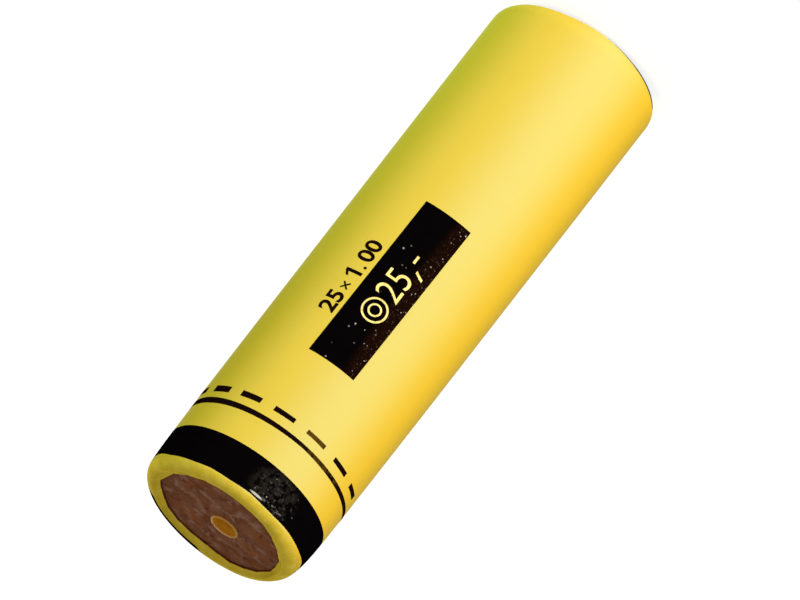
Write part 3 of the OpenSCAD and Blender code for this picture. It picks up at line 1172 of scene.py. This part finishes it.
def add_label(name):
    """A black oblong with its long sides a little askew of the tube's."""
    rows, columns = 90, 70
    share = np.linspace(0, 1, rows)[:, None]
    across = np.linspace(0, 1, columns)[None, :]
    from_end = label_start + (label_end - label_start) * share
    turn = label_sides[0] + (label_sides[1] - label_sides[0]) * across + label_skew * (share - 0.5)
    faces = grid_faces(rows, columns, False, False)
    lay_film(name, turn, from_end, faces, "label_ink")


add_label("label")

# Plain figures and a round coin mark are printed with the rest: black ones on the yellow beside
# the label, and yellow ones where the paper shows through its black, drawn as films over it.
PALE_INK_LIFT = 2.2 * INK_LIFT
figure_step = 0.45
coin_mark_middle = (32.4, -5.2)
coin_mark_lines = ((1.84, 1.56), (0.96, 0.70))
figure_1 = ((0.52, 0.0), (0.88, 0.0), (0.88, 1.0), (0.62, 1.0), (0.06, 0.80), (0.06, 0.64), (0.52, 0.78))
slanting_stroke = ((0.0, 0.0), (0.40, 0.0), (1.0, 1.0), (0.60, 1.0))
level_stroke = ((0.0, 0.0), (1.0, 0.0), (1.0, 1.0), (0.0, 1.0))


def figure_shapes(figure, start, length, low, high, weight):
    """Triangles of some figures, laid flat: the first number of each point runs along their line
    and the second up it, in millimetres. They are given as a text or as the corners of one
    outline, and are cut across in narrow strips, so that they bend round the tube."""
    shapes = bmesh.new()
    if isinstance(figure, str):
        curve = bpy.data.curves.new("figures", "FONT")
        curve.body = figure
        curve.offset = weight
        flat = bpy.data.objects.new("figures", curve)
        shapes.from_mesh(flat.to_mesh())
        flat.to_mesh_clear()
        bpy.data.objects.remove(flat)
    else:
        shapes.faces.new([shapes.verts.new((*place, 0)) for place in figure])
    places = np.array([point.co[:2] for point in shapes.verts])
    nearest, furthest = places.min(axis=0), places.max(axis=0)
    growth = np.array([length, high - low]) / (furthest - nearest)
    for point, place in zip(shapes.verts, (places - nearest) * growth + (start, low)):
        point.co = (*place, 0)
    for cut in np.arange(low + figure_step / 2, high, figure_step):
        everything = shapes.verts[:] + shapes.edges[:] + shapes.faces[:]
        bmesh.ops.bisect_plane(shapes, geom=everything, plane_co=(0, cut, 0), plane_no=(0, 1, 0))
    bmesh.ops.triangulate(shapes, faces=shapes.faces[:])
    shapes.verts.index_update()
    points = np.array([point.co[:2] for point in shapes.verts])
    faces = np.array([[corner.index for corner in face.verts] for face in shapes.faces])
    shapes.free()
    return points, faces


def add_figures(name, lines, foot_turn, material, lift=INK_LIFT):
    """A film of figures that stand on a line along the tube, at an angle from the front."""
    all_points, all_faces, count = [], [], 0
    for line in lines:
        points, faces = figure_shapes(*line)
        all_points.append(points)
        all_faces.append(faces + count)
        count += len(points)
    points = np.concatenate(all_points)
    turn = foot_turn - np.degrees(points[:, 1] / tube_r)
    lay_film(name, turn, points[:, 0], np.concatenate(all_faces), material, lift=lift)


def add_coin_mark(name, material, lift):
    """Two rings, one in the other, as a plain mark for a coin."""
    middle_h, middle_turn = coin_mark_middle
    rows, columns = 3, 72
    faces = grid_faces(rows, columns)[:, ::-1]
    for number, (outer_r, inner_r) in enumerate(coin_mark_lines):
        radii = np.linspace(inner_r, outer_r, rows)[:, None]
        flat = around(radii, 0, column_turns(columns))
        turn = middle_turn - np.degrees(flat[..., 1] / tube_r)
        lay_film(f"{name}_{number}", turn, middle_h + flat[..., 0], faces, material, lift=lift)


ink_material("label_figures", (0.78, 0.62, 0.20), [
    ((-5.0, 30.0, 36.0, 12.0, 2.0, 0.6), (0.72, 0.50, 0.12)),
])
add_figures("black_figures", [
    ("25", 28.8, 3.3, 0.0, 2.49, 0.026),
    ("\u00d7", 32.7, 1.2, 0.38, 1.58, 0.004),
    (figure_1, 34.75, 1.15, 0.0, 2.49, 0.0),
    (".", 36.55, 0.45, 0.0, 0.45, 0.0),
    ("00", 37.6, 3.4, 0.0, 2.49, 0.026),
], -25.3, "line_ink")
add_figures("label_figures", [
    ("25", 34.7, 4.2, 0.0, 3.63, -0.006),
    (slanting_stroke, 39.4, 1.0, -0.75, 0.55, 0.0),
    (level_stroke, 40.95, 1.2, 1.37, 1.73, 0.0),
], 3.3, "label_figures", PALE_INK_LIFT)
add_coin_mark("label_coin_mark", "label_figures", PALE_INK_LIFT)
